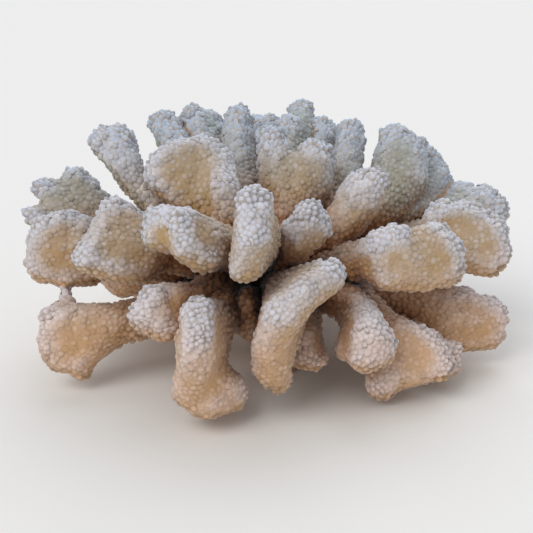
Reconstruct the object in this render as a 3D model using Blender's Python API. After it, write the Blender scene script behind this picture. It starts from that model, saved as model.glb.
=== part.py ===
"""Cauliflower coral: a bleached, dried colony of a knobbly branching stony coral, cut off flat at its foot.

The colony is one short trunk and the branches that fork from it. Most branches are flattened blades that
are widest at their rims. Sizes are in millimetres until the mesh is made. +Z is up, +X right and +Y back,
and the origin is the middle of the flat cut under the trunk. A ball is (x, y, z, radius): the trunk and the
branches are skins stretched over balls.
"""

import bmesh
import bpy
from mathutils import Vector

MM = 0.001

# Fineness of the skins.
SKIN_VOXEL = 1.8
SMOOTHING_ROUNDS = 5
BRANCH_FACES = 130
TRUNK_FACES = 220

# The knobs that stand out of every skin, and the clearance that parts a branch from what it grows beside.
SWELL = 0.8
KNOB_HEIGHT = 1.2
KNOB_SPACING = 13
SEAT_GAP = 0.4

CORAL_COLOUR = (0.80, 0.68, 0.54, 1)
TRUNK_COLOUR = (0.42, 0.29, 0.21, 1)

# The trunk: chains of balls, from the cut foot up into the fused heart of the colony.
TRUNK = [
    [(0, -9, 2, 15), (0, 9, 2, 15)],
    [(0, -6, 4, 16), (-4, 0, 32, 20)],
    [(0, 8, 4, 16), (-4, 4, 32, 20)],
    [(-4, 0, 34, 18), (-12, 0, 50, 26), (4, 4, 49, 23)],
    [(-12, 0, 50, 26), (-28, 4, 49, 20)],
    [(-12, 6, 52, 24), (-4, 24, 50, 19)],
]

# Each branch: the chain of balls of its stem, from inside the trunk outwards; the rims of its blades, each
# blade being stretched from the last ball of the stem; and its limbs, which are chains like the stem.
BRANCHES = {
    # The ridges and blades at the front.
    "front_centre_ridge": {
        "stem": [(-12, -10, 54, 11), (-14, -44, 76, 8.5)],
        "rims": [[(-16, -78, 105, 7), (-17, -86, 92, 7.5), (-20, -84, 78, 6.5)]],
    },
    "front_diagonal_blade": {
        "stem": [(-4, -10, 44, 11), (0, -50, 54, 9)],
        "rims": [
            [(17, -72, 70, 7), (5, -82, 65, 7.2), (-4, -88, 58, 7.5)],
            [(-4, -88, 58, 7.5), (-9, -86, 44, 6.5), (-9, -78, 28, 7.5)],
        ],
        "limbs": [[(-9, -78, 28, 7.5), (-6, -74, 20, 6.5)]],
    },
    "front_left_low_ridge": {
        "stem": [(-24, -12, 42, 11), (-34, -54, 42, 8)],
        "rims": [[(-41, -84, 56, 7), (-41, -90, 48, 7.8), (-42, -90, 35, 8.5)]],
        "limbs": [
            [(-42, -88, 35, 8.5), (-43, -84, 21, 9.5), (-39, -80, 12, 8)],
            [(-38, -80, 24, 9), (-37, -83, 17, 10), (-29, -76, 16, 9.5)],
            [(-37, -60, 38, 6), (-38, -78, 22, 9)],
        ],
    },
    "front_left_low_paddle": {
        "stem": [(-26, -8, 46, 10), (-42, -45, 47, 8.5)],
        "rims": [[(-63, -60, 53, 6.5), (-66, -62, 46, 7.5), (-58, -64, 42, 6.5)]],
    },
    "front_shadow_lobe": {
        "stem": [(-14, -10, 42, 8), (-18, -32, 42, 6)],
        "rims": [[(-21, -45, 48, 5), (-21, -48, 38, 6), (-15, -48, 31, 5)]],
    },
    "front_hanging_lobe": {
        "stem": [(2, -8, 40, 8), (5, -32, 36, 6)],
        "rims": [[(7, -48, 32, 6.5), (4, -52, 23, 6.5), (12, -54, 21, 6)]],
    },
    "front_small_fork": {
        "stem": [(-2, -10, 54, 9), (-3, -36, 66, 8)],
        "rims": [[(3, -44, 79, 6.5), (9, -45, 89, 6.3)], [(9, -45, 89, 6.3), (12, -43, 82, 6)]],
    },
    "front_left_paddle": {
        "stem": [(-22, -8, 54, 11), (-34, -38, 73, 8.5)],
        "rims": [
            [(-60, -60, 84, 6), (-59, -56, 90, 6.5), (-48, -66, 92, 6.5)],
            [(-48, -66, 92, 6.5), (-47, -70, 82, 6), (-38, -66, 76, 6.5)],
        ],
        "limbs": [[(-47, -64, 88, 6.5), (-38, -60, 82, 8), (-30, -40, 72, 8)]],
    },
    # The left side.
    "left_middle_paddle": {
        "stem": [(-28, -4, 50, 11), (-62, -28, 66, 8)],
        "rims": [
            [(-74, -24, 79, 5.5), (-83, -28, 88, 5.5), (-86, -36, 82, 6)],
            [(-86, -36, 82, 6), (-89, -44, 76, 6.5), (-93, -50, 70, 6.3)],
            [(-93, -50, 70, 6.3), (-82, -48, 65, 6.2), (-70, -40, 61, 6.2)],
        ],
        "limbs": [[(-68, -34, 68, 8), (-80, -39, 74, 7)]],
    },
    "left_outer_paddle": {
        "stem": [(-32, 0, 46, 10), (-90, -8, 57, 8)],
        "rims": [
            [(-103, -6, 71, 6), (-111, -10, 75, 6.5), (-119, -14, 71, 7)],
            [(-119, -14, 71, 7), (-121.5, -18, 62, 6.8), (-122, -20, 54, 6.5)],
            [(-122, -20, 54, 6.5), (-111, -20, 52, 6.5), (-99, -16, 51, 6.5)],
        ],
        "limbs": [[(-100, -13, 61, 8), (-112, -16, 63, 7.5)]],
    },
    "left_back_cluster": {
        "stem": [(-32, 8, 50, 9), (-94, 20, 64, 8)],
        "rims": [[(-105, 26, 79, 7), (-112, 28, 86, 7)], [(-124, 18, 83, 6.8)], [(-129, 5, 73, 5.8)]],
    },
    "left_upright_paddle": {
        "stem": [(-30, 3, 56, 10), (-69, 8, 81, 7), (-77, 12, 89, 7.4), (-84, 15, 100, 7.8)],
        "rims": [[(-94.5, 20, 109, 6.6), (-85, 20, 109.5, 6.6)]],
    },
    "left_low_arm": {
        "stem": [(-30, -6, 42, 9), (-66, -27, 32, 9), (-86, -32, 30, 9.5)],
        "rims": [
            [(-100, -34, 35, 6), (-113, -38, 34, 7), (-113, -42, 24, 7)],
            [(-113, -42, 24, 7), (-110, -42, 15, 6.5), (-102, -42, 15, 6.5)],
        ],
        "limbs": [
            [(-110, -35, 35, 5), (-109, -26, 44, 3.2)],
            [(-102, -42, 15, 6.5), (-101, -42, 10, 6)],
            [(-96, -36, 28, 8.5), (-106, -40, 24, 7.5)],
        ],
    },
    "left_back_low_lobe": {
        "stem": [(-32, 10, 42, 9), (-72, 24, 35, 7.5)],
        "rims": [[(-99, 34, 33, 6.5), (-89, 30, 26, 7)]],
    },
    # The crown, above the front branches.
    "crown_left_paddle": {
        "stem": [(-22, -3, 58, 12), (-38, -9, 78, 10)],
        "rims": [
            [(-64, -8, 96, 6.5), (-63, -4, 103, 6.5), (-54, 0, 108, 6.5)],
            [(-54, 0, 108, 6.5), (-41, 2, 108, 6.5), (-33, -2, 101, 7)],
            [(-35, -3, 101, 7.5), (-32, -13, 91, 8.5), (-31, -17, 77, 9)],
        ],
    },
    "crown_centre_fork": {
        "stem": [(-6, 0, 60, 12), (1, 2, 78, 10)],
        "rims": [
            [(-9, 14, 97, 7), (-8, 18, 110, 6.8)],
            [(12, 12, 105, 6), (17, 11, 103, 6), (15, 8, 90, 7)],
        ],
    },
    "crown_right_diagonal": {
        "stem": [(2, -4, 54, 11), (24, -17, 73, 8.5)],
        "rims": [[(34, -14, 94, 7), (40, -16, 97, 7)], [(40, -16, 97, 7), (36, -19, 87, 7)]],
        "limbs": [[(24, -18, 74, 8.5), (35, -18, 89, 8)]],
    },
    "crown_right_paddle": {
        "stem": [(6, 5, 56, 11), (50, 22, 73, 9.5)],
        "rims": [[(56, 34, 90, 8.5), (57, 42, 105, 7.5), (66, 40, 101, 7.5), (66, 30, 87, 8)]],
    },
    "crown_right_back_tip": {
        "stem": [(10, 9, 53, 9), (70, 34, 70, 7.5)],
        "rims": [[(77, 56, 92, 6), (83, 46, 81, 6.5)]],
    },
    # The right side.
    "right_back_pair": {
        "stem": [(14, 6, 48, 9), (80, 20, 60, 8)],
        "rims": [[(94, 38, 76, 7)], [(102, 26, 76, 7.5), (109, 20, 70, 6.8)]],
    },
    "right_middle_fan": {
        "stem": [(14, 0, 47, 10), (68, -6, 61, 8)],
        "rims": [
            [(76, -4, 78, 6.5), (90, -6, 76, 6.2), (101, -10, 71, 6.2)],
            [(101, -10, 71, 6.2), (103, -14, 60, 6.3), (100, -16, 55, 6), (90, -16, 59, 6)],
        ],
        "limbs": [[(82, -9, 66, 7.5), (94, -12, 65, 7)]],
    },
    "front_right_blade": {
        "stem": [(8, -6, 49, 11), (37, -36, 64, 9)],
        "rims": [
            [(41, -46, 75, 7), (50, -46, 78, 6.8), (54, -47, 72, 6)],
            [(54, -47, 68, 6), (68, -38, 77, 6.8), (74, -42, 71, 6.8)],
            [(74, -42, 71, 6.8), (75, -44, 62, 6.5), (61, -48, 61, 6), (44, -50, 62, 6.5)],
        ],
        "limbs": [[(44, -46, 67, 8), (58, -46, 67, 8), (70, -43, 67, 7)]],
    },
    "right_low_blade": {
        "stem": [(14, -2, 41, 10), (61, -10, 32, 9)],
        "rims": [
            [(88, -13, 35, 6), (104, -12, 27, 7), (103, -14, 16, 7)],
            [(103, -14, 16, 7), (91, -16, 15, 7), (71, -16, 22, 7)],
        ],
        "limbs": [[(78, -15, 27, 8.5), (94, -15, 24, 8)]],
    },
    "front_right_low_paddle": {
        "stem": [(12, -6, 46, 8), (33, -26, 41, 8), (47, -38, 29, 8.5)],
        "rims": [
            [(65, -50, 27, 6.5), (71, -54, 18, 6.8), (61, -56, 15, 6)],
            [(61, -56, 15, 6), (48, -58, 16, 6.5), (43, -60, 9, 6.5)],
        ],
        "limbs": [[(50, -43, 27, 9), (59, -51, 20, 8)]],
    },
    "right_small_lobe": {
        "stem": [(14, -4, 38, 7), (58, -22, 22, 6)],
        "rims": [[(79, -38, 17, 5), (78, -40, 9, 5)]],
    },
    "front_right_knob": {
        "stem": [(8, -8, 43, 9), (31, -45, 44, 8)],
        "rims": [[(36, -70, 41, 8), (33, -74, 32, 7.8), (41, -70, 33, 7)]],
        "limbs": [[(33, -66, 34, 6), (24, -62, 32, 4.5)], [(33, -66, 33, 6), (24, -62, 28, 4.5)]],
    },
    # The back of the crown.
    "back_left_tip": {
        "stem": [(-24, 8, 58, 9), (-46, 30, 84, 8)],
        "rims": [[(-61, 46, 103, 7.5), (-66, 52, 111, 7)]],
    },
    "back_left_fork": {
        "stem": [(-18, 14, 61, 9), (-40, 46, 93, 8)],
        "rims": [[(-51, 58, 113, 6.8)], [(-42, 62, 110, 6.4)]],
    },
    "back_centre_ridge": {
        "stem": [(-13, 6, 62, 10), (-25, 30, 88, 8)],
        "rims": [[(-26, 40, 101, 7.4), (-26, 46, 115, 6.8)]],
    },
    "back_centre_tip": {
        "stem": [(-10, 16, 60, 9), (-13, 56, 92, 8)],
        "rims": [[(-16, 68, 105, 6.8), (-9, 68, 105, 6.8)]],
    },
    "back_right_fork": {
        "stem": [(-4, 14, 61, 9), (1, 42, 88, 8)],
        "rims": [[(2, 56, 108, 7.5)], [(9, 74, 113, 6.4)]],
    },
    "back_right_tip": {
        "stem": [(2, 10, 58, 9), (16, 50, 86, 7.5)],
        "rims": [[(20, 66, 103, 7.8)]],
    },
    "back_right_ridge": {
        "stem": [(5, 6, 57, 9), (30, 30, 82, 8)],
        "rims": [[(33, 40, 94, 7.4), (34, 46, 107, 7)]],
    },
    # The rear, middle height.
    "rear_left_paddle": {
        "stem": [(-26, 10, 52, 10), (-60, 44, 52, 8.5)],
        "rims": [
            [(-77, 60, 53, 6), (-90, 66, 53, 6), (-93, 68, 44, 6.5)],
            [(-93, 68, 44, 6.5), (-84, 68, 38, 6.5), (-72, 66, 38, 6.5)],
        ],
    },
    "rear_centre_left_paddle": {
        "stem": [(-16, 16, 50, 11), (-34, 60, 66, 9)],
        "rims": [[(-46, 80, 84, 6.5), (-36, 86, 87, 7), (-28, 88, 78, 6.5), (-29, 86, 64, 7)]],
    },
    "rear_centre_right_paddle": {
        "stem": [(-4, 18, 50, 11), (4, 60, 64, 9)],
        "rims": [[(-1, 84, 84, 7), (10, 88, 86, 7), (17, 90, 74, 6.5), (12, 88, 62, 6.5)]],
    },
    "rear_right_paddle": {
        "stem": [(6, 12, 50, 11), (38, 50, 62, 9)],
        "rims": [[(42, 70, 74, 7), (54, 74, 73, 6.5), (63, 72, 64, 7), (55, 72, 54, 6.5)]],
    },
    "rear_right_fan": {
        "stem": [(12, 8, 46, 9), (66, 42, 51, 8)],
        "rims": [[(82, 54, 62, 6.5), (92, 54, 54, 7), (90, 56, 43, 6.5), (79, 56, 37, 6)]],
    },
    # The rear, low down.
    "rear_low_left_arm": {
        "stem": [(-28, 10, 40, 9), (-64, 42, 28, 8)],
        "rims": [[(-86, 54, 30, 6), (-93, 58, 24, 6.5), (-86, 60, 15, 6.5), (-74, 58, 11, 6.5)]],
    },
    "rear_low_left_lobe": {
        "stem": [(-20, 14, 40, 10), (-44, 56, 34, 8.5)],
        "rims": [[(-52, 78, 44, 7), (-59, 82, 32, 7), (-54, 80, 18, 7), (-45, 74, 10, 7)]],
    },
    "rear_low_centre_lobe": {
        "stem": [(-8, 20, 42, 10), (-11, 60, 36, 8.5)],
        "rims": [[(-18, 82, 46, 7), (-17, 89, 36, 7), (-8, 88, 22, 7), (-7, 80, 10, 7)]],
    },
    "rear_low_right_lobe": {
        "stem": [(4, 16, 42, 10), (24, 54, 34, 8.5)],
        "rims": [[(24, 78, 45, 6.5), (34, 82, 36, 7), (38, 80, 22, 7), (30, 72, 10, 7)]],
    },
    "rear_low_right_arm": {
        "stem": [(12, 8, 40, 9), (56, 40, 31, 8)],
        "rims": [[(74, 60, 34, 6.5), (84, 60, 26, 6.5), (79, 62, 14, 6.5), (66, 58, 10, 6.5)]],
    },
}


def clear_scene():
    for obj in list(bpy.data.objects):
        bpy.data.objects.remove(obj)


def unit_ball():
    """The points of a ball of radius 1."""
    bm = bmesh.new()
    bmesh.ops.create_icosphere(bm, subdivisions=2, radius=1)
    points = [vert.co.copy() for vert in bm.verts]
    bm.free()
    return points


def add_hull(bm, balls, ball_points):
    """Adds the closed skin stretched over these balls."""
    verts = []
    for x, y, z, radius in balls:
        centre = Vector((x, y, z))
        verts += [bm.verts.new((centre + radius * point) * MM) for point in ball_points]
    hull = bmesh.ops.convex_hull(bm, input=verts, use_existing_faces=False)
    spare = set(hull["geom_interior"]) | set(hull["geom_unused"])
    spare_verts = [item for item in spare if isinstance(item, bmesh.types.BMVert)]
    bmesh.ops.delete(bm, geom=spare_verts, context="VERTS")


def new_object(name, mesh):
    obj = bpy.data.objects.new(name, mesh)
    bpy.context.scene.collection.objects.link(obj)
    return obj


def apply_modifiers(obj):
    """Gives the object the mesh that its modifiers make, and takes them off."""
    graph = bpy.context.evaluated_depsgraph_get()
    made = bpy.data.meshes.new_from_object(obj.evaluated_get(graph))
    obj.modifiers.clear()
    obj.data = made


def skinned_object(name, hulls, faces):
    """One closed, smooth skin over the hulls, each of which is a list of balls."""
    ball_points = unit_ball()
    bm = bmesh.new()
    for balls in hulls:
        add_hull(bm, balls, ball_points)
    mesh = bpy.data.meshes.new(name)
    bm.to_mesh(mesh)
    bm.free()
    obj = new_object(name, mesh)
    remesh = obj.modifiers.new("one_skin", "REMESH")
    remesh.mode = "VOXEL"
    remesh.voxel_size = SKIN_VOXEL * MM
    smooth = obj.modifiers.new("round_off", "SMOOTH")
    smooth.factor = 0.5
    smooth.iterations = SMOOTHING_ROUNDS
    apply_modifiers(obj)
    facets = obj.modifiers.new("facets", "DECIMATE")
    facets.ratio = faces / (2 * len(obj.data.polygons))
    facets.use_collapse_triangulate = True
    apply_modifiers(obj)
    return obj


def pairs(chain):
    return list(zip(chain, chain[1:]))


def trunk_hulls():
    return [list(pair) for chain in TRUNK for pair in pairs(chain)]


def branch_hulls(branch):
    """Rods along the stem and the limbs, and a fan from the stem's end for each blade."""
    chains = [branch["stem"], *branch.get("limbs", [])]
    hulls = [list(pair) for chain in chains for pair in pairs(chain)]
    stem_end = branch["stem"][-1]
    for rim in branch["rims"]:
        edges = pairs(rim) or [(rim[0],)]
        hulls += [[stem_end, *edge] for edge in edges]
    return hulls


def raise_knobs(obj):
    """Pushes out points that stand well apart, so that the facets between them read as knobs."""
    bm = bmesh.new()
    bm.from_mesh(obj.data)
    bm.normal_update()
    knobs = []
    for vert in bm.verts:
        if all((vert.co - other.co).length > KNOB_SPACING * MM for other in knobs):
            knobs.append(vert)
    heights = {vert: SWELL + KNOB_HEIGHT * (vert in knobs) for vert in bm.verts}
    moves = [(vert, vert.normal * height * MM) for vert, height in heights.items()]
    for vert, move in moves:
        vert.co += move
    bm.to_mesh(obj.data)
    bm.free()


def cut_foot(obj):
    """Cuts the trunk off flat at the ground."""
    bm = bmesh.new()
    bm.from_mesh(obj.data)
    everything = bm.verts[:] + bm.edges[:] + bm.faces[:]
    bmesh.ops.bisect_plane(bm, geom=everything, plane_co=(0, 0, 0), plane_no=(0, 0, 1), clear_inner=True)
    rim = [edge for edge in bm.edges if edge.is_boundary]
    bmesh.ops.contextual_create(bm, geom=rim)
    bmesh.ops.triangulate(bm, faces=bm.faces[:])
    bmesh.ops.recalc_face_normals(bm, faces=bm.faces[:])
    bm.to_mesh(obj.data)
    bm.free()


def seat_cutter(obj):
    """A copy of the object, swollen by the seat gap, that cuts its neighbours."""
    cutter = new_object(obj.name + "_seat", obj.data.copy())
    bm = bmesh.new()
    bm.from_mesh(cutter.data)
    bm.normal_update()
    moves = [(vert, vert.normal * SEAT_GAP * MM * vert.calc_shell_factor()) for vert in bm.verts]
    for vert, move in moves:
        vert.co += move
    bm.to_mesh(cutter.data)
    bm.free()
    cutter.hide_render = True
    cutter.display_type = "WIRE"
    return cutter


def box_of(obj):
    points = [vert.co for vert in obj.data.vertices]
    low = [min(point[i] for point in points) for i in range(3)]
    high = [max(point[i] for point in points) for i in range(3)]
    return low, high


def boxes_meet(first, second):
    low_a, high_a = box_of(first)
    low_b, high_b = box_of(second)
    return all(low_a[i] < high_b[i] and low_b[i] < high_a[i] for i in range(3))


def keep_largest_body(obj):
    """Drops the slivers that a cut leaves beside the object's main body."""
    bm = bmesh.new()
    bm.from_mesh(obj.data)
    left = set(bm.verts)
    bodies = []
    while left:
        body = set()
        front = [next(vert for vert in bm.verts if vert in left)]
        while front:
            vert = front.pop()
            if vert in left:
                left.discard(vert)
                body.add(vert)
                front += [edge.other_vert(vert) for edge in vert.link_edges]
        bodies.append(body)
    largest = max(bodies, key=len)
    bmesh.ops.delete(bm, geom=[vert for vert in bm.verts if vert not in largest], context="VERTS")
    bmesh.ops.triangulate(bm, faces=bm.faces[:])
    bm.to_mesh(obj.data)
    bm.free()


def cut_by(obj, cutters):
    """Takes these cutters out of the object, so that it sits against them with the seat gap between."""
    for cutter in cutters:
        if boxes_meet(obj, cutter):
            seat = obj.modifiers.new("seat", "BOOLEAN")
            seat.operation = "DIFFERENCE"
            seat.solver = "EXACT"
            seat.use_self = True
            seat.object = cutter
    if obj.modifiers:
        apply_modifiers(obj)
    keep_largest_body(obj)


def paint(obj, colour):
    material = bpy.data.materials.new(obj.name)
    material.use_nodes = True
    shader = material.node_tree.nodes["Principled BSDF"]
    shader.inputs["Base Color"].default_value = colour
    shader.inputs["Roughness"].default_value = 0.85
    obj.data.materials.clear()
    obj.data.materials.append(material)


def build_coral():
    trunk = skinned_object("trunk", trunk_hulls(), TRUNK_FACES)
    raise_knobs(trunk)
    cut_foot(trunk)
    paint(trunk, TRUNK_COLOUR)
    cutters = [seat_cutter(trunk)]
    for name, branch in BRANCHES.items():
        obj = skinned_object(name, branch_hulls(branch), BRANCH_FACES)
        raise_knobs(obj)
        own_seat = seat_cutter(obj)
        cut_by(obj, cutters)
        paint(obj, CORAL_COLOUR)
        cutters.append(own_seat)
    for cutter in cutters:
        bpy.data.objects.remove(cutter)


clear_scene()
build_coral()
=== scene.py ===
"""Looks of the cauliflower coral: a lumpy skin and its verrucae (the small round bumps) on every branch.

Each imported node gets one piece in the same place. Its skin is the node's solid, remeshed evenly, rounded
off and made lumpy. Verrucae grow on the skin: crowded on the margins of the blades, low and sparse on their
faces, large and round on the stems. What is known at each point, such as how open it is to the outside, is
stored on the mesh, and the material takes its colours from it. Lengths are in millimetres until a mesh is
made.
"""

import math
import zlib

import bpy
import numpy as np
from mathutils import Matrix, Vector, noise
from mathutils.bvhtree import BVHTree


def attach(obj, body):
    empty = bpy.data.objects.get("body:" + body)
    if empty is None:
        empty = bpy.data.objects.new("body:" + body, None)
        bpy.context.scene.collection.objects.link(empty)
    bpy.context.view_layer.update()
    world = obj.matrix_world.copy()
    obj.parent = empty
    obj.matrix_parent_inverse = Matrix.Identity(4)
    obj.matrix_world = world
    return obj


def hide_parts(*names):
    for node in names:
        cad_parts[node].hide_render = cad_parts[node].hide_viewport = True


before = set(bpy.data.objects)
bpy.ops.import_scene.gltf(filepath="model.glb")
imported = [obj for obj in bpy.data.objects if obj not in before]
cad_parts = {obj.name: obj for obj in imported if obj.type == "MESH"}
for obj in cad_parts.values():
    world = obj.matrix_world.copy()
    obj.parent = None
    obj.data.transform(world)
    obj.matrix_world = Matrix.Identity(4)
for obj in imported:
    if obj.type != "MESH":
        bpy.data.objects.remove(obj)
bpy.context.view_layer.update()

MM = 0.001

# Points of a solid that are this near each other are one point.
WELD_DISTANCE = 0.001

# The heart of the colony, which the branches point away from. The reach of a point is its distance from
# the heart as a share of the colony's radii.
HEART = np.array([-8.0, 0.0, 32.0])
COLONY_RADII = np.array([118.0, 92.0, 78.0])

# The skin: the solid remeshed with this voxel and smoothed this many times, then moved out by its swell and
# by lumps, which have finer lumps on them.
SKIN_VOXEL = 2.0
SKIN_SMOOTHING = 8
FACE_SWELL, MARGIN_SWELL = -0.2, -0.3
FACE_LUMPS, MARGIN_LUMPS = 0.5, 2.2
LUMP_SIZE = 4.4
FINE_LUMPS, FINE_LUMPS_PER_LUMP = 0.4, 2.3

# A seam is where another node's solid is this near. The skin swells there to close the gap.
SEAM_REACH = 1.3
SEAM_WIDENING = 1.5
SEAM_SWELL = 1.2

# A pair in brackets is a range: the thing starts at the first value and is complete at the second.
# A margin is where the skin stands out of a strongly smoothed copy of itself, and partly where it faces up.
COPY_SMOOTHING = 40
MARGIN_BULGE = (0.5, 2.7)
FACING_UP = (0.2, 0.8)
FACING_UP_IS_MARGIN = 0.25
NOT_FACING_DOWN = (-0.5, 0.2)
MARGIN_FACING_DOWN = 0.35
MARGIN_ON_STEM = 0.3
RAGGEDNESS = 0.35
RAGGED_MARGIN = (0, 0.3)

# A stem is what lies this far in from its branch's tip, or isn't this far out from the heart, both in reach.
STEM_BELOW_TIP = (0.14, 0.44)
NOT_STEM_FROM_HEART = (0.4, 0.7)

# How open a point is: the share of the directions above the skin in which nothing of the colony is this
# near.
DIRECTIONS = 40
OPEN_REACH = 70.0
OPEN_START = 2.0
STEEPEST_COSINE = 0.1

# How many times each value is averaged with its neighbours.
ROUNDS = {"seam": 1, "open": 2, "up": 4, "margin": 5, "bulge": 8}

# What a mesh stores at its points for the material, besides the rise and the tone of each verruca.
STORED = ("bulge", "open", "reach", "stem", "up", "skin_normal")

# Verrucae: their spacing, radius and height on a face, on a stem and on a margin. They are taller on the
# edge of a margin, and none grow where the skin is less open than SHUT.
ON_FACE = (2.5, 1.6, 0.42)
ON_STEM = (2.5, 1.85, 1.6)
ON_MARGIN = (2.0, 1.78, 1.1)
EDGE_BULGE = (2.0, 3.2)
EDGE_HEIGHT = 0.9
TILT_OUTWARDS = 0.25
SHUT, SHUT_AT_SEAM = 0.04, 0.08
TRIES_PER_PLACE = 11

# How much verrucae differ from each other.
SCALES = (0.86, 1.14)
HEIGHTS = (0.8, 1.25)
OVALS = (0.9, 1.12)
BIG_SHARE, BIG_SCALE = 0.1, 1.25

# A verruca is a dome of rings: the radius of each, and its height above the skin. The top is at height 1.
DOME_SIDES = 8
TALL_RINGS = [(1.0, -0.3), (0.76, 0.32), (0.42, 0.82)]
LOW_RINGS = [(1.0, -0.25), (0.7, 0.62)]
TALL_FROM = 0.85

# The skin between verrucae has this tone. On a margin it is coloured like a verruca's flank, at this rise.
SKIN_TONE = 0.5
SKIN_RISE_ON_MARGIN = 0.5


def srgb(red, green, blue):
    """A linear colour from 0-255 screen values."""
    shares = [value / 255 for value in (red, green, blue)]
    linear = [s / 12.92 if s <= 0.04045 else ((s + 0.055) / 1.055) ** 2.4 for s in shares]
    return (*linear, 1)


# Colours of the faces and of the frost on the rims: in front, at the back, and low down. The zones are
# painted
# light: cool from above and behind, so greyer and bluer at the back and up high, and warm low down. A point
# that faces up counts as higher than it is, which paints the light from above on it, and noise in patches
# makes the zones uneven.
TAN_FRONT = srgb(181, 148, 99)
TAN_BACK = srgb(162, 164, 149)
TAN_LOW = srgb(208, 164, 118)
FROSTED_FRONT = srgb(213, 215, 228)
FROSTED_BACK = srgb(188, 204, 226)
FROSTED_LOW = srgb(236, 213, 207)
BACK = (-10, 60)
HIGH = (35, 105)
HIGHER_FACING_UP = 20
ZONE_UNEVENNESS = 30
PATCHES_PER_MM = 0.06

# How much of a rim a point is, from its bulge and from how far it faces up: rims that face down get less, as
# painted light from above.
RIM_BULGE = (0.6, 2.6)
RIM_POWER = 1.3
RIM_UP = (-0.55, 0.3)

# Frost lies on rims, thinly where the skin faces up as painted light from above, and on the crests of some
# verrucae. Stems have less of it, and places that are shut in have less of it as painted shade.
FROST_UP = (-0.1, 0.9)
FROST_PAINTED_LIGHT_FACING_UP = 0.22
FROST_LOST_ON_STEM = 0.5
FROST_OPEN = (0.1, 0.45)
CREST_RISE = (0.2, 1.0)
CREST_TONE = (0.2, 1.2)
CREST_FROST = 0.4

# Painted light in the creases between the verrucae of a rim, and the colour of faces that are shut in.
GAP_PAINTED_LIGHT = srgb(238, 221, 207)
GAP_PAINTED_LIGHT_STRENGTH = 0.8
CLEAR_OF_GAP = (0.0, 0.8)
WARM_SHADE = srgb(184, 136, 88)
SHADE_STRENGTH = 0.75
OUT_OF_SHADE = (0.1, 0.65)

# Stains towards the heart, partly brown stains and partly painted shade where the skin is shut in, the
# nearly
# black one mostly painted shade: each ends at this openness, is full from this depth, and covers this share
# there. Depth is 1 up to the first of these reaches, and 0 from the second on.
STAIN_AND_SHADE_REACH = (0.4, 0.95)
AMBER = srgb(182, 128, 78)
BROWN = srgb(114, 66, 42)
DEEP_SHADE_BROWN = srgb(28, 14, 13)
STAINS_AND_PAINTED_SHADE = [
    (1.0, 0.6, 0.9, AMBER),
    (0.46, 0.55, 0.88, BROWN),
    (0.22, 0.45, 0.97, DEEP_SHADE_BROWN),
]

# Light spreads inside the coral, so a verruca's shading keeps only this share of its roundness at its top.
VERRUCA_SHARPNESS = 0.35
SHARP_RISE = (0.25, 1.0)
GRAIN_PER_MM = 1.6
GRAIN_DEPTH = 0.25

# The studio. Azimuth 0 is the front and 90 the right, in degrees.
FLOOR_COLOUR = srgb(240, 240, 240)
FLOOR_HALF = 6000.0
WORLD_LIGHT = (0.52, 0.52, 0.52, 1)
COLONY_MIDDLE = (0, 0, 50)
SUN_DISTANCE = 1500
CAMERA_LENS = 70
CAMERA_ELEVATION = 20
CAMERA_DISTANCE = 530
CAMERA_TARGET = (-11, 0, 48)


# ---------------------------------------------------------------- numbers and meshes


def between(start, end, share):
    return start + (end - start) * share


def smoothstep(value, low, high):
    share = np.clip((value - low) / (high - low), 0, 1)
    return share * share * (3 - 2 * share)


def unit(vectors):
    return vectors / np.maximum(np.linalg.norm(vectors, axis=-1, keepdims=True), 1e-9)


def random_for(name):
    return np.random.default_rng(zlib.crc32(name.encode()))


def fibonacci_directions(count):
    """Directions spread evenly over a sphere."""
    index = np.arange(count) + 0.5
    height = 1 - 2 * index / count
    turn = math.pi * (1 + math.sqrt(5)) * index
    ring = np.sqrt(1 - height**2)
    return np.stack([ring * np.cos(turn), ring * np.sin(turn), height], axis=1)


def object_from(name, verts, faces):
    """An object with smooth faces, in the scene."""
    mesh = bpy.data.meshes.new(name)
    mesh.from_pydata((verts * MM).tolist(), [], faces.tolist(), shade_flat=False)
    obj = bpy.data.objects.new(name, mesh)
    bpy.context.scene.collection.objects.link(obj)
    return obj


def arrays_of(mesh):
    """The mesh's points in millimetres and its triangles."""
    mesh.calc_loop_triangles()
    verts = np.empty(len(mesh.vertices) * 3, np.float32)
    mesh.vertices.foreach_get("co", verts)
    tris = np.empty(len(mesh.loop_triangles) * 3, np.int32)
    mesh.loop_triangles.foreach_get("vertices", tris)
    return verts.reshape(-1, 3).astype(float) / MM, tris.reshape(-1, 3)


def weld(verts, tris):
    """Makes points in one place one point."""
    cells = np.round(verts / WELD_DISTANCE).astype(np.int64)
    places, index = np.unique(cells, axis=0, return_inverse=True)
    return places * WELD_DISTANCE, index.reshape(-1)[tris]


def joined(groups):
    """Several lists of points, triangles and values at the points made one."""
    starts = np.cumsum([0] + [len(points) for points, _, _ in groups])
    points = np.concatenate([points for points, _, _ in groups])
    tris = np.concatenate([tris + start for (_, tris, _), start in zip(groups, starts)])
    values = {name: np.concatenate([group[2][name] for group in groups]) for name in groups[0][2]}
    return points, tris, values


def normals_of(verts, tris):
    """Outward unit normals at the points, weighted by triangle area."""
    a, b, c = (verts[tris[:, k]] for k in range(3))
    cross = np.cross(b - a, c - a)
    total = np.zeros_like(verts)
    for k in range(3):
        np.add.at(total, tris[:, k], cross)
    return unit(total)


def spread(values, tris, rounds):
    """Averages a value at the points with its neighbours, this many times."""
    edges = np.concatenate([tris[:, [0, 1]], tris[:, [1, 2]], tris[:, [2, 0]]])
    count = np.bincount(edges[:, 0], minlength=len(values))
    for _ in range(rounds):
        total = np.bincount(edges[:, 0], weights=values[edges[:, 1]], minlength=len(values))
        values = (values + total / np.maximum(count, 1)) / 2
    return values


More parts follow.
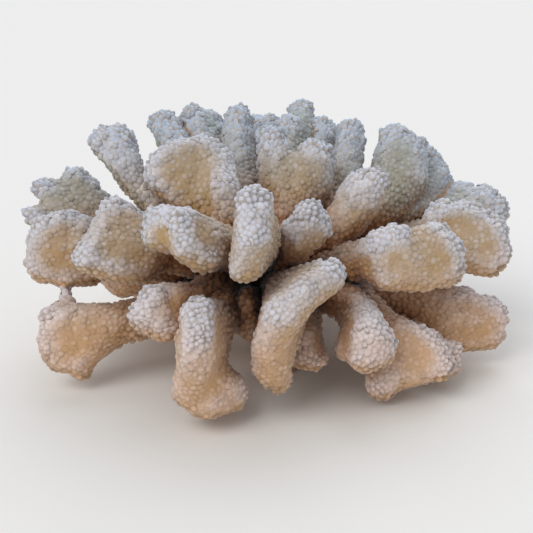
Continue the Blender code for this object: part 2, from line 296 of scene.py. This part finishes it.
def store(mesh, name, values):
    """Stores a number, or a vector, at every point."""
    if values.ndim == 2:
        attribute = mesh.attributes.new(name, "FLOAT_VECTOR", "POINT")
        attribute.data.foreach_set("vector", values.astype(np.float32).ravel())
    else:
        attribute = mesh.attributes.new(name, "FLOAT", "POINT")
        attribute.data.foreach_set("value", values.astype(np.float32))


# ---------------------------------------------------------------- the skin


def rounded_skin(verts, tris):
    """The solid remeshed to an even fine mesh, with its facets rounded off."""
    obj = object_from("skin", verts, tris)
    remesh = obj.modifiers.new("even", "REMESH")
    remesh.mode = "VOXEL"
    remesh.voxel_size = SKIN_VOXEL * MM
    smooth = obj.modifiers.new("round_off", "SMOOTH")
    smooth.factor = 0.5
    smooth.iterations = SKIN_SMOOTHING
    evaluated = obj.evaluated_get(bpy.context.evaluated_depsgraph_get())
    skin = arrays_of(evaluated.to_mesh())
    bpy.data.objects.remove(obj)
    return skin


def near_another_node(name, verts, colony_tree, owners):
    """1 at the points that lie against another node's solid, and 0 elsewhere."""
    found = np.zeros(len(verts))
    for i, point in enumerate(verts):
        hits = colony_tree.find_nearest_range(Vector(point), SEAM_REACH)
        found[i] = any(owners[hit[2]] != name for hit in hits)
    return found


def lumps(verts, size):
    """A value of about -1 to 1 at each point, for lumps of about this size and finer ones on top."""
    heights = np.empty(len(verts))
    for i, point in enumerate(verts):
        place = Vector(point) / size
        heights[i] = noise.noise(place) + FINE_LUMPS * noise.noise(place * FINE_LUMPS_PER_LUMP)
    return heights


def bulge_of(verts, tris, normals):
    """How far each point stands out of a strongly smoothed copy of the skin."""
    smooth = np.stack([spread(verts[:, k], tris, COPY_SMOOTHING) for k in range(3)], axis=1)
    return ((verts - smooth) * normals).sum(axis=1)


def openness(verts, normals, colony_tree):
    """The share of the directions above each point in which nothing of the colony is near."""
    directions = fibonacci_directions(DIRECTIONS)
    shares = np.empty(len(verts))
    for i, (point, normal) in enumerate(zip(verts, normals)):
        above = directions[directions @ normal > STEEPEST_COSINE]
        start = Vector(point + normal * OPEN_START)
        free = [colony_tree.ray_cast(start, Vector(way), OPEN_REACH)[0] is None for way in above]
        shares[i] = sum(free) / len(free)
    return shares


def margin_of(verts, tris, bulge, up, stem):
    """How much of a margin each point is, with a ragged edge: less of one facing down or on a stem."""
    margin = smoothstep(bulge, *MARGIN_BULGE) + FACING_UP_IS_MARGIN * smoothstep(up, *FACING_UP)
    margin = margin * between(MARGIN_FACING_DOWN, 1, smoothstep(up, *NOT_FACING_DOWN))
    margin = spread(margin * between(1, MARGIN_ON_STEM, stem), tris, ROUNDS["margin"])
    ragged = RAGGEDNESS * lumps(verts, 2 * LUMP_SIZE) * smoothstep(margin, *RAGGED_MARGIN)
    return np.clip(margin + ragged, 0, 1)


def known_of(name, verts, tris, normals, colony_tree, owners):
    """What is known at each point of a node's rounded skin."""
    seam = spread(near_another_node(name, verts, colony_tree, owners), tris, ROUNDS["seam"])
    bulge = bulge_of(verts, tris, normals)
    up = spread(normals[:, 2], tris, ROUNDS["up"])
    reach = np.linalg.norm((verts - HEART) / COLONY_RADII, axis=1)
    below_tip = smoothstep(reach.max() - reach, *STEM_BELOW_TIP)
    stem = np.maximum(below_tip, 1 - smoothstep(reach, *NOT_STEM_FROM_HEART))
    return {
        "seam": np.clip(seam * SEAM_WIDENING, 0, 1),
        "margin": margin_of(verts, tris, bulge, up, stem),
        "bulge": spread(bulge, tris, ROUNDS["bulge"]),
        "open": spread(openness(verts, normals, colony_tree), tris, ROUNDS["open"]),
        "reach": reach,
        "stem": stem,
        "up": up,
    }


def shaped_skin(name, solid, colony_tree, owners):
    """The node's skin, lumpy on the margins and swollen at the seams, with what is known at each point."""
    verts, tris = rounded_skin(*solid)
    normals = normals_of(verts, tris)
    known = known_of(name, verts, tris, normals, colony_tree, owners)
    margin = known["margin"]
    relief = lumps(verts, LUMP_SIZE) * between(FACE_LUMPS, MARGIN_LUMPS, margin)
    swell = relief + between(FACE_SWELL, MARGIN_SWELL, margin)
    verts = verts + normals * between(swell, SEAM_SWELL, known["seam"])[:, None]
    known["skin_normal"] = normals_of(verts, tris)
    return verts, tris, known


# ---------------------------------------------------------------- verrucae


def scatter(verts, tris, spacing, usable, rng):
    """Places on the skin at least their spacing apart, after the triangle of each and its weights in it."""
    a, b, c = (verts[tris[:, k]] for k in range(3))
    areas = np.linalg.norm(np.cross(b - a, c - a), axis=1) / 2
    room = areas * usable[tris].all(axis=1) / spacing[tris].mean(axis=1) ** 2
    total = room.sum()
    chosen = rng.choice(len(tris), int(total * TRIES_PER_PLACE), p=room / total)
    one, two = rng.random(len(chosen)), rng.random(len(chosen))
    fold = one + two > 1
    one[fold], two[fold] = 1 - one[fold], 1 - two[fold]
    weights = np.stack([1 - one - two, one, two], axis=1)
    places = (verts[tris[chosen]] * weights[:, :, None]).sum(axis=1)
    gaps = (spacing[tris[chosen]] * weights).sum(axis=1)
    kept = thin_out(places, gaps)
    return chosen[kept], weights[kept], places[kept]


def thin_out(places, gaps):
    """The numbers of the places that keep their distance from every place kept before them."""
    cells = np.floor(places / gaps.max()).astype(int).tolist()
    around = [(x, y, z) for x in (-1, 0, 1) for y in (-1, 0, 1) for z in (-1, 0, 1)]
    grid = {}
    kept = []
    for i, ((cx, cy, cz), place, gap) in enumerate(zip(cells, places.tolist(), gaps.tolist())):
        near = [other for x, y, z in around for other in grid.get((cx + x, cy + y, cz + z), ())]
        if all(math.dist(place, other) >= (gap + other_gap) / 2 for other, other_gap in near):
            grid.setdefault((cx, cy, cz), []).append((place, gap))
            kept.append(i)
    return np.array(kept, int)


def dome_template(rings):
    """A dome of radius 1 and height 1 above its foot: its points and its triangles."""
    top = len(rings) * DOME_SIDES
    points = []
    tris = []
    for level, (radius, height) in enumerate(rings):
        for k in range(DOME_SIDES):
            turn = (2 * k + level) * math.pi / DOME_SIDES
            points.append((radius * math.cos(turn), radius * math.sin(turn), height))
            here = level * DOME_SIDES + k
            after = level * DOME_SIDES + (k + 1) % DOME_SIDES
            if level < len(rings) - 1:
                above, above_after = here + DOME_SIDES, after + DOME_SIDES
                tris += [(here, after, above), (after, above_after, above)]
            else:
                tris.append((here, after, top))
    points.append((0, 0, 1))
    return np.array(points), np.array(tris)


def grow_domes(rings, places, axes, widths, heights, rng):
    """A dome at each place, along its axis: their points, their triangles, and how high up each point is."""
    points, tris = dome_template(rings)
    count = len(places)
    helper = unit(rng.normal(size=(count, 3)))
    side = unit(np.cross(axes, helper))
    other = np.cross(axes, side)
    oval = rng.uniform(*OVALS, (count, 1))
    x = (widths[:, None] * oval * points[:, 0])[:, :, None] * side[:, None, :]
    y = (widths[:, None] / oval * points[:, 1])[:, :, None] * other[:, None, :]
    z = (heights[:, None] * points[:, 2])[:, :, None] * axes[:, None, :]
    all_points = places[:, None, :] + x + y + z
    all_tris = tris[None] + (np.arange(count) * len(points))[:, None, None]
    rise = np.tile(np.clip(points[:, 2], 0, 1), count)
    return all_points.reshape(-1, 3), all_tris.reshape(-1, 3), rise


def graded(known):
    """The spacing, radius and height that verrucae have at each point of the skin."""
    spacing, radius, height = (
        between(between(on_face, on_stem, known["stem"]), on_margin, known["margin"])
        for on_face, on_stem, on_margin in zip(ON_FACE, ON_STEM, ON_MARGIN)
    )
    at_edge = known["margin"] * smoothstep(known["bulge"], *EDGE_BULGE)
    return spacing, radius, height + EDGE_HEIGHT * at_edge


def verrucae(verts, tris, known, rng):
    """Points, triangles and values at the points, for the tall verrucae and for the low ones."""
    spacing, radius, height = graded(known)
    usable = known["open"] > between(SHUT, SHUT_AT_SEAM, known["seam"])
    chosen, weights, places = scatter(verts, tris, spacing, usable, rng)

    def here(values):
        return np.einsum("ij,ij...->i...", weights, values[tris[chosen]])

    axes = unit(here(known["skin_normal"]))
    axes = unit(axes + (TILT_OUTWARDS * here(known["margin"]))[:, None] * unit(places - HEART))
    scale = rng.uniform(*SCALES, len(places))
    scale = np.where(rng.random(len(places)) < BIG_SHARE, scale * BIG_SCALE, scale)
    widths = here(radius) * scale
    heights = here(height) * scale * rng.uniform(*HEIGHTS, len(places))
    tones = rng.random(len(places))
    stored = {name: here(known[name]) for name in STORED}

    tall = here(height) > TALL_FROM
    groups = []
    for rings, which in ((TALL_RINGS, tall), (LOW_RINGS, ~tall)):
        grown = grow_domes(rings, places[which], axes[which], widths[which], heights[which], rng)
        points, dome_tris, rise = grown
        per_dome = DOME_SIDES * len(rings) + 1
        values = {name: np.repeat(value[which], per_dome, axis=0) for name, value in stored.items()}
        values["rise"] = rise
        values["tone"] = np.repeat(tones[which], per_dome)
        groups.append((points, dome_tris, values))
    return groups


def dress(name, solid, colony_tree, owners, material):
    """Builds the piece that stands for one node."""
    verts, tris, known = shaped_skin(name, solid, colony_tree, owners)
    skin_values = {stored: known[stored] for stored in STORED}
    skin_values["rise"] = SKIN_RISE_ON_MARGIN * known["margin"]
    skin_values["tone"] = np.full(len(verts), SKIN_TONE)
    bumps = verrucae(verts, tris, known, random_for(name))
    points, tris, values = joined([(verts, tris, skin_values), *bumps])
    # Nothing goes below the surface that the coral rests on.
    points[:, 2] = np.maximum(points[:, 2], 0)
    piece = object_from("coral_" + name, points, tris)
    for value_name, at_points in values.items():
        store(piece.data, value_name, at_points)
    piece.data.materials.append(material)
    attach(piece, "root")
    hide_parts(name)


def build_coral():
    solids = {name: weld(*arrays_of(obj.data)) for name, obj in sorted(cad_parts.items())}
    verts, tris, _ = joined([(*solid, {}) for solid in solids.values()])
    colony_tree = BVHTree.FromPolygons(verts.tolist(), tris.tolist())
    owners = [name for name, (_, own_tris) in solids.items() for _ in own_tris]
    material = coral_material()
    for name, solid in solids.items():
        dress(name, solid, colony_tree, owners, material)


# ---------------------------------------------------------------- material


class Nodes:
    """Short calls to build the node tree of a material or a world."""

    def __init__(self, owner):
        owner.use_nodes = True
        self.tree = owner.node_tree
        self.tree.nodes.clear()

    def add(self, kind, settings=(), **inputs):
        node = self.tree.nodes.new(kind)
        for key, value in dict(settings).items():
            setattr(node, key, value)
        for key, value in inputs.items():
            self.set(node.inputs[key.replace("_", " ")], value)
        return node

    def set(self, socket, value):
        if isinstance(value, bpy.types.NodeSocket):
            self.tree.links.new(value, socket)
        else:
            socket.default_value = value

    def attribute(self, name, output="Fac"):
        """What the mesh stores under this name."""
        return self.add("ShaderNodeAttribute", {"attribute_name": name}).outputs[output]

    def ramp(self, value, low, high):
        """0 up to the low value, 1 from the high value on, and smooth between."""
        node = self.add("ShaderNodeMapRange", {"interpolation_type": "SMOOTHSTEP"})
        self.set(node.inputs["Value"], value)
        self.set(node.inputs["From Min"], low)
        self.set(node.inputs["From Max"], high)
        return node.outputs["Result"]

    def math(self, operation, one, two):
        node = self.add("ShaderNodeMath", {"operation": operation})
        self.set(node.inputs[0], one)
        self.set(node.inputs[1], two)
        return node.outputs[0]

    def plus(self, one, two):
        return self.math("ADD", one, two)

    def times(self, one, two):
        return self.math("MULTIPLY", one, two)

    def one_minus(self, value):
        """1 minus the value, but never below 0."""
        return self.math("MAXIMUM", self.math("SUBTRACT", 1.0, value), 0.0)

    def mix(self, share, one, two):
        node = self.add("ShaderNodeMix", {"data_type": "RGBA"})
        self.set(node.inputs[0], share)
        self.set(node.inputs[6], one)
        self.set(node.inputs[7], two)
        return node.outputs[2]

    def mix_vectors(self, share, one, two):
        node = self.add("ShaderNodeMix", {"data_type": "VECTOR"})
        self.set(node.inputs[0], share)
        self.set(node.inputs[4], one)
        self.set(node.inputs[5], two)
        return node.outputs[1]

    def noise(self, position, per_mm, detail):
        node = self.add("ShaderNodeTexNoise", Vector=position, Scale=per_mm / MM, Detail=detail)
        return node.outputs["Fac"]


def painted_light_zone_colours(nodes, place):
    """The tan and the frosted white for how far back and how high a point is: painted light, cool from above
    and behind and warm low down.
    """
    split = nodes.add("ShaderNodeSeparateXYZ", Vector=place)
    uneven = nodes.times(nodes.noise(place, PATCHES_PER_MM, detail=2.0), ZONE_UNEVENNESS * MM)
    # Painted light from above: a point that faces up takes the cooler colours of a higher one.
    lift = nodes.times(nodes.attribute("up"), HIGHER_FACING_UP * MM)
    height = nodes.plus(nodes.plus(split.outputs["Z"], lift), uneven)
    back = nodes.ramp(nodes.plus(split.outputs["Y"], uneven), BACK[0] * MM, BACK[1] * MM)
    high = nodes.ramp(height, HIGH[0] * MM, HIGH[1] * MM)
    tan = nodes.mix(high, TAN_LOW, nodes.mix(back, TAN_FRONT, TAN_BACK))
    frosted = nodes.mix(high, FROSTED_LOW, nodes.mix(back, FROSTED_FRONT, FROSTED_BACK))
    return tan, frosted


def rim_share(nodes):
    """How much a point is on a rim: where the skin bulges, and less where it faces down, as painted light
    from above.
    """
    edge = nodes.math("POWER", nodes.ramp(nodes.attribute("bulge"), *RIM_BULGE), RIM_POWER)
    return nodes.times(edge, nodes.ramp(nodes.attribute("up"), *RIM_UP))


def frost_and_painted_light_share(nodes, rim):
    """How frosted a point is: on rims, a little where it faces up as painted light from above, and on the
    crests of some verrucae; less on stems, and less where shut in as painted shade.
    """
    painted_light_from_above = nodes.times(nodes.ramp(nodes.attribute("up"), *FROST_UP), FROST_PAINTED_LIGHT_FACING_UP)
    on_blade = nodes.one_minus(nodes.times(nodes.attribute("stem"), FROST_LOST_ON_STEM))
    # Painted shade: less frost where the skin is shut in.
    outside = nodes.ramp(nodes.attribute("open"), *FROST_OPEN)
    frost = nodes.times(nodes.times(nodes.plus(rim, painted_light_from_above), on_blade), outside)
    chosen = nodes.ramp(nodes.attribute("tone"), *CREST_TONE)
    crest = nodes.times(nodes.ramp(nodes.attribute("rise"), *CREST_RISE), chosen)
    bare = nodes.one_minus(frost)
    return nodes.plus(frost, nodes.times(crest, nodes.times(bare, CREST_FROST)))


def stained_and_painted_shade(nodes, colour):
    """Amber, brown and nearly black towards the heart of the colony, where it is shut in: partly stains,
    partly painted shade.
    """
    depth = nodes.one_minus(nodes.ramp(nodes.attribute("reach"), *STAIN_AND_SHADE_REACH))
    for end_open, full_depth, strength, stain in STAINS_AND_PAINTED_SHADE:
        shut = nodes.one_minus(nodes.ramp(nodes.attribute("open"), 0.0, end_open))
        share = nodes.times(shut, nodes.ramp(depth, 0.0, full_depth))
        colour = nodes.mix(nodes.times(share, strength), colour, stain)
    return colour


def coral_colour(nodes, place):
    """Tan faces and frosted rims with painted light in their gaps, then the stains and painted shade, and a
    slight tone for each verruca.
    """
    tan, frosted = painted_light_zone_colours(nodes, place)
    rim = rim_share(nodes)
    shade = nodes.one_minus(nodes.ramp(nodes.attribute("open"), *OUT_OF_SHADE))
    tan = nodes.mix(nodes.times(shade, SHADE_STRENGTH), tan, WARM_SHADE)
    colour = nodes.mix(frost_and_painted_light_share(nodes, rim), tan, frosted)
    # Painted light: the creases between a rim's verrucae are made paler and warmer, for light that spreads
    # into them.
    gap = nodes.one_minus(nodes.ramp(nodes.attribute("rise"), *CLEAR_OF_GAP))
    colour = nodes.mix(nodes.times(gap, nodes.times(rim, GAP_PAINTED_LIGHT_STRENGTH)), colour, GAP_PAINTED_LIGHT)
    colour = stained_and_painted_shade(nodes, colour)
    brightness = nodes.plus(0.95, nodes.times(nodes.attribute("tone"), 0.1))
    return nodes.add("ShaderNodeHueSaturation", Color=colour, Value=brightness).outputs["Color"]


def coral_normal(nodes, place):
    """The skin's normal, turned part of the way to a verruca's own near its top, with a fine grain."""
    sharpness = nodes.times(nodes.ramp(nodes.attribute("rise"), *SHARP_RISE), VERRUCA_SHARPNESS)
    to_world = {"vector_type": "NORMAL", "convert_from": "OBJECT", "convert_to": "WORLD"}
    stored = nodes.attribute("skin_normal", "Vector")
    skin_normal = nodes.add("ShaderNodeVectorTransform", to_world, Vector=stored).outputs["Vector"]
    own_normal = nodes.add("ShaderNodeNewGeometry").outputs["Normal"]
    normal = nodes.mix_vectors(sharpness, skin_normal, own_normal)
    grain = nodes.noise(place, GRAIN_PER_MM, detail=3.0)
    depth = GRAIN_DEPTH * MM
    bump = nodes.add("ShaderNodeBump", Strength=0.35, Distance=depth, Height=grain, Normal=normal)
    return bump.outputs["Normal"]


def coral_material():
    material = bpy.data.materials.new("coral")
    nodes = Nodes(material)
    place = nodes.add("ShaderNodeTexCoord").outputs["Object"]
    shader = nodes.add(
        "ShaderNodeBsdfPrincipled",
        Base_Color=coral_colour(nodes, place),
        Normal=coral_normal(nodes, place),
        Roughness=0.5,
        Specular_IOR_Level=0.4,
        Sheen_Weight=0.35,
        Sheen_Roughness=0.5,
        Sheen_Tint=(0.84, 0.92, 1.0, 1.0),
    )
    nodes.add("ShaderNodeOutputMaterial", Surface=shader.outputs["BSDF"])
    return material


# ---------------------------------------------------------------- floor, light, camera


def build_floor():
    material = bpy.data.materials.new("floor")
    nodes = Nodes(material)
    shader = nodes.add("ShaderNodeBsdfPrincipled", Base_Color=FLOOR_COLOUR, Roughness=0.9)
    nodes.add("ShaderNodeOutputMaterial", Surface=shader.outputs["BSDF"])
    corners = FLOOR_HALF * np.array([(-1, -1, 0), (1, -1, 0), (1, 1, 0), (-1, 1, 0)])
    floor = object_from("floor", corners, np.array([(0, 1, 2, 3)]))
    floor.data.materials.append(material)


def place_facing(obj, azimuth, elevation, distance, target):
    """Links the object into the scene at this azimuth, elevation and distance from the target, facing it."""
    bpy.context.scene.collection.objects.link(obj)
    turn, lift = math.radians(azimuth), math.radians(elevation)
    way = Vector((math.sin(turn) * math.cos(lift), -math.cos(turn) * math.cos(lift), math.sin(lift)))
    obj.location = (Vector(target) + way * distance) * MM
    obj.rotation_euler = (-way).to_track_quat("-Z", "Y").to_euler()


def add_sun(name, azimuth, elevation, angle, strength, colour):
    light = bpy.data.lights.new(name, "SUN")
    light.angle = math.radians(angle)
    light.energy = strength
    light.color = colour
    sun = bpy.data.objects.new(name, light)
    place_facing(sun, azimuth, elevation, SUN_DISTANCE, COLONY_MIDDLE)


def build_lights():
    """A soft warm sun from the front left, a softer cool one from behind, and even light all round."""
    add_sun("key", azimuth=-44, elevation=46, angle=40, strength=1.12, colour=(1.0, 0.975, 0.93))
    add_sun("back", azimuth=165, elevation=48, angle=50, strength=0.9, colour=(0.92, 0.96, 1.0))
    world = bpy.data.worlds.new("studio")
    bpy.context.scene.world = world
    nodes = Nodes(world)
    seen = nodes.add("ShaderNodeLightPath").outputs["Is Camera Ray"]
    background = nodes.add("ShaderNodeBackground", Color=nodes.mix(seen, WORLD_LIGHT, FLOOR_COLOUR))
    nodes.add("ShaderNodeOutputWorld", Surface=background.outputs["Background"])


def build_camera():
    data = bpy.data.cameras.new("camera")
    data.lens = CAMERA_LENS
    camera = bpy.data.objects.new("camera", data)
    place_facing(camera, 0, CAMERA_ELEVATION, CAMERA_DISTANCE, CAMERA_TARGET)
    bpy.context.scene.camera = camera
    bpy.context.scene.view_settings.view_transform = "Standard"


build_coral()
build_floor()
build_lights()
build_camera()
